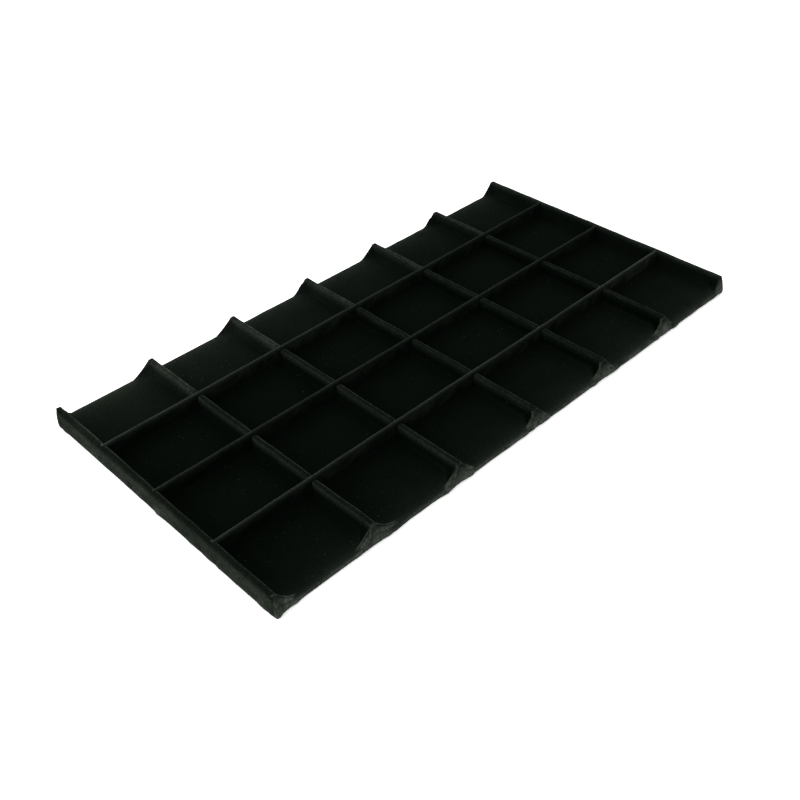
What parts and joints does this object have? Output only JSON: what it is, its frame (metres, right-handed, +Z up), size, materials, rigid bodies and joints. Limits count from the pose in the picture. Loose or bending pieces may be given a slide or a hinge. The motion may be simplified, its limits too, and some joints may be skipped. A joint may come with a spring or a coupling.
{
  "type": "coin display tray",
  "caption": "Flat rectangular velvet covered tray liner with low ribs that part its floor into a grid of open compartments for coins.",
  "frame": {"origin": "middle of the underside, on the surface that the tray rests on", "axes": "+X along the long side, towards the right end rail; +Y across, from the front edge to the back edge; +Z up, out of the compartments"},
  "size_m": [0.3588, 0.192, 0.0127],
  "materials": {
    "black_velvet": "short cut pile, near black with a very slight green cast, soft pale sheen along crests and edges",
    "greyboard": "matte grey brown pulp board",
    "strip_card": "matte card cut on edge",
    "backing_paper": "matte black paper with a fine grain"
  },
  "bodies": {
    "root": {"velvet_cover": "black_velvet", "base_board": "greyboard", "backing_sheet": "backing_paper", "end_rail_left": "strip_card", "end_rail_right": "strip_card", "long_divider_front": "strip_card", "long_divider_middle": "strip_card", "long_divider_back": "strip_card", "cross_divider_1_row_1": "strip_card", "cross_divider_1_row_2": "strip_card", "cross_divider_1_row_3": "strip_card", "cross_divider_1_row_4": "strip_card", "cross_divider_2_row_1": "strip_card", "cross_divider_2_row_2": "strip_card", "cross_divider_2_row_3": "strip_card", "cross_divider_2_row_4": "strip_card", "cross_divider_3_row_1": "strip_card", "cross_divider_3_row_2": "strip_card", "cross_divider_3_row_3": "strip_card", "cross_divider_3_row_4": "strip_card", "cross_divider_4_row_1": "strip_card", "cross_divider_4_row_2": "strip_card", "cross_divider_4_row_3": "strip_card", "cross_divider_4_row_4": "strip_card", "cross_divider_5_row_1": "strip_card", "cross_divider_5_row_2": "strip_card", "cross_divider_5_row_3": "strip_card", "cross_divider_5_row_4": "strip_card"}
  },
  "joints": []
}
